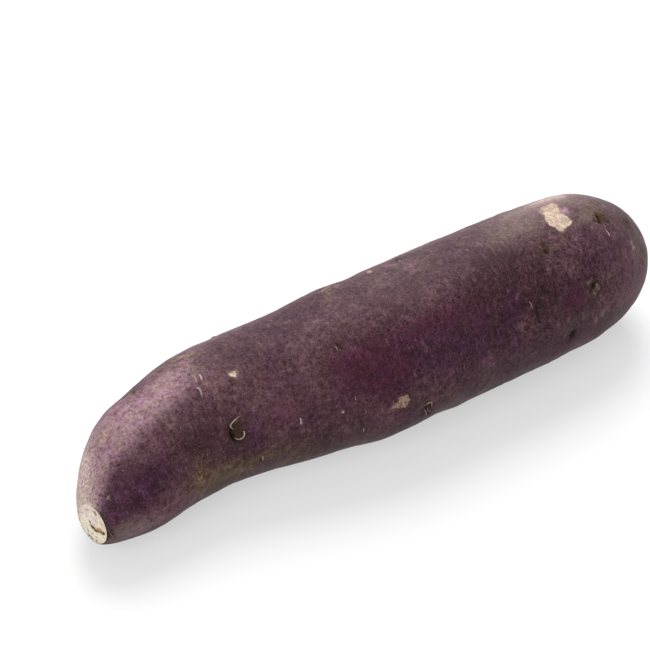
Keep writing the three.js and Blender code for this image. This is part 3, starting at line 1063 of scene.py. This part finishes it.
def tubes_along(paths, outward, radii, sides):
    """Round tubes along paths: at each point a circle of its radius, in the plane across the
    path, measured from the outward direction."""
    forward = np.gradient(paths, axis=1)
    forward /= np.linalg.norm(forward, axis=2, keepdims=True)
    level = np.cross(outward, forward)
    level /= np.linalg.norm(level, axis=2, keepdims=True)
    rise = np.cross(forward, level)
    turn = np.arange(sides) * 2 * math.pi / sides
    circle = level[:, :, None] * np.cos(turn)[:, None] + rise[:, :, None] * np.sin(turn)[:, None]
    return paths[:, :, None] + circle * radii[:, :, None, None]


class SkinPlaces:
    """Finds points on the finished skin by their distance from the cut and their angle: the
    four nearest points of its grid, mixed by their nearness."""

    def __init__(self, points, along, girth):
        self.points, self.along, self.girth = points, along, girth
        self.normals = normals_of(points)

    def at(self, place, angle, height):
        """Points at the height in mm over the skin, and the directions that lead away from it."""
        ring = np.interp(place, self.along, np.arange(len(self.along)))
        side = (angle % 360) * SIDES / 360
        i = np.minimum(ring.astype(int), len(self.along) - 2)
        j = side.astype(int)
        down, over = (ring - i)[..., None], (side - j)[..., None]
        j, k = j % SIDES, (j + 1) % SIDES

        def mixed(grid):
            near = mix(grid[i, j], grid[i, k], over)
            return mix(near, mix(grid[i + 1, j], grid[i + 1, k], over), down)

        outward = mixed(self.normals)
        outward /= np.linalg.norm(outward, axis=-1, keepdims=True)
        return mixed(self.points) + outward * height[..., None], outward

    def girth_at(self, place):
        """The body's radius in mm at the distance from the cut."""
        return np.interp(place, self.along, self.girth)


def make_rootlets(places):
    """Dry rootlets as tubes: the named ones, thinner at their ends, and many fine hairs that
    lie on the skin, mostly across its length, each a shallow bow."""
    curves = np.array([
        curve_through(np.array(points, float), np.linspace(0, len(points) - 1, STRAND_RINGS))
        for points, *_ in ROOTLETS
    ])
    paths, outward = places.at(curves[..., 0], curves[..., 1], curves[..., 2])
    share = np.linspace(-1, 1, STRAND_RINGS)
    thick, first, last = np.array([numbers for _, *numbers in ROOTLETS]).T[..., None]
    uneven = 1 + 0.15 * np.sin(share * 9 + np.arange(len(ROOTLETS))[:, None])
    radii = thick / 2 * uneven * (1 - 0.55 * share ** 4)
    paleness = mix(first, last, (share + 1) / 2)[..., None]
    named = tubes_along(paths, outward, radii, STRAND_SIDES)
    named_fields = {"paleness": paleness + np.zeros(named.shape[:3])}

    draw = np.random.default_rng(HAIR_SEED)
    place = draw.uniform(3, LENGTH - 3, HAIRS)
    angle = draw.uniform(-20, 200, HAIRS)
    half = draw.uniform(0.3, 1.0, HAIRS)
    lean = np.radians(draw.normal(0, 32, HAIRS))
    bow = draw.normal(0, 0.12, HAIRS) * half
    lift = draw.uniform(0.0, 0.08, HAIRS)
    width = draw.uniform(0.035, 0.075, HAIRS)
    tone = draw.uniform(0.0, 0.4, HAIRS)
    s = np.linspace(-1, 1, HAIR_RINGS)
    run, bend = half[:, None] * s, bow[:, None] * s * s
    along = place[:, None] + run * np.sin(lean)[:, None] + bend * np.cos(lean)[:, None]
    along = np.clip(along, 0.5, LENGTH - 0.5)
    around = run * np.cos(lean)[:, None] - bend * np.sin(lean)[:, None]
    turned = angle[:, None] + np.degrees(around / places.girth_at(along))
    paths, outward = places.at(along, turned, 0.03 + lift[:, None] * (1 - s * s))
    hairs = tubes_along(paths, outward, width[:, None] * (1 - 0.7 * s ** 4), HAIR_SIDES)
    hair_fields = {"paleness": tone[:, None, None] + np.zeros(hairs.shape[:3])}

    piece = closed_tubes("dry_rootlets", [(named, named_fields), (hairs, hair_fields)])
    piece.data.materials.append(rootlet_material())
    return piece


# ---- light and camera, in metres and degrees

LAMP_TARGET = (0, 0, 0.02)
CAMERA_TARGET = np.array([0.01125, 0.04525, 0])
CAMERA_SIDE = (-33.8, 40)  # azimuth and elevation
CAMERA_DISTANCE = 0.6466
FLOOR_HALF = 3  # half of its side
FLOOR_GREY = 0.45
GLOW_FADE = (0.25, 0.9)  # how far out the floor turns from half to full white


def aim(thing, place, target):
    """Puts a lamp or camera at the place, turned so that its -Z axis points to the target."""
    thing.location = place
    thing.rotation_mode = "QUATERNION"
    direction = Vector(np.array(target) - np.array(place))
    thing.rotation_quaternion = direction.to_track_quat("-Z", "Y")


def from_object(azimuth, elevation):
    """The direction from the object to where one looks at it: azimuth 0 looks along +Y."""
    a, e = math.radians(azimuth), math.radians(elevation)
    return np.array([math.sin(a) * math.cos(e), -math.cos(a) * math.cos(e), math.sin(e)])


def add_lamp(name, azimuth, elevation, distance, size, watts):
    """A round soft lamp that shines on the object from the given side."""
    data = bpy.data.lights.new(name, "AREA")
    data.shape = "DISK"
    data.size = size
    data.energy = watts
    aim(linked(name, data), from_object(azimuth, elevation) * distance, LAMP_TARGET)


def add_camera():
    """A long lens that looks down on the object from its front, on the side of the cut."""
    data = bpy.data.cameras.new("camera")
    data.lens = 100
    data.sensor_width = 36
    camera = linked("camera", data)
    aim(camera, CAMERA_TARGET + from_object(*CAMERA_SIDE) * CAMERA_DISTANCE, CAMERA_TARGET)
    bpy.context.scene.camera = camera


def add_world():
    """A plain bright room, which is white where it is seen and softer where it lights."""
    world = bpy.data.worlds.new("studio")
    s = Shader(world)
    strength = 0.5 + s.seen_directly() * 0.5
    back = s.node("ShaderNodeBackground", inputs={"Color": (1, 1, 1, 1), "Strength": strength})
    s.node("ShaderNodeOutputWorld", inputs={"Surface": back.outputs[0]})
    bpy.context.scene.world = world


def add_floor():
    """A wide pale floor that keeps the shadow and turns to plain white further out."""
    corners = [(x * FLOOR_HALF, y * FLOOR_HALF, 0) for x, y in ((-1, -1), (1, -1), (1, 1), (-1, 1))]
    mesh = bpy.data.meshes.new("floor")
    mesh.from_pydata(corners, [], [(0, 1, 2, 3)])
    floor = linked("floor", mesh)
    s = Shader(bpy.data.materials.new("pale_floor"))
    away = Number(s, s.vector("LENGTH", {0: s.here()}, "Value"))
    glow = s.seen_directly() * (0.5 + s.step(away, *GLOW_FADE) * 0.5)
    surface = s.node("ShaderNodeBsdfPrincipled", inputs={
        "Base Color": (FLOOR_GREY, FLOOR_GREY, FLOOR_GREY, 1), "Roughness": 1,
        "Specular IOR Level": 0, "Emission Color": glow, "Emission Strength": 1,
    })
    s.node("ShaderNodeOutputMaterial", inputs={"Surface": surface.outputs[0]})
    mesh.materials.append(s.owner)


add_camera()
add_world()
add_floor()
add_lamp("key", azimuth=150, elevation=55, distance=1.0, size=0.7, watts=9.5)
add_lamp("fill", azimuth=-60, elevation=35, distance=1.2, size=0.9, watts=5.5)

skin, skin_points, skin_along, skin_girth = make_skin()
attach(skin, "root")
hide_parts("tuber")

cut = make_cut()
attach(cut, "root")

rootlets = make_rootlets(SkinPlaces(skin_points, skin_along, skin_girth))
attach(rootlets, "root")

bpy.context.scene.view_settings.view_transform = "Standard"
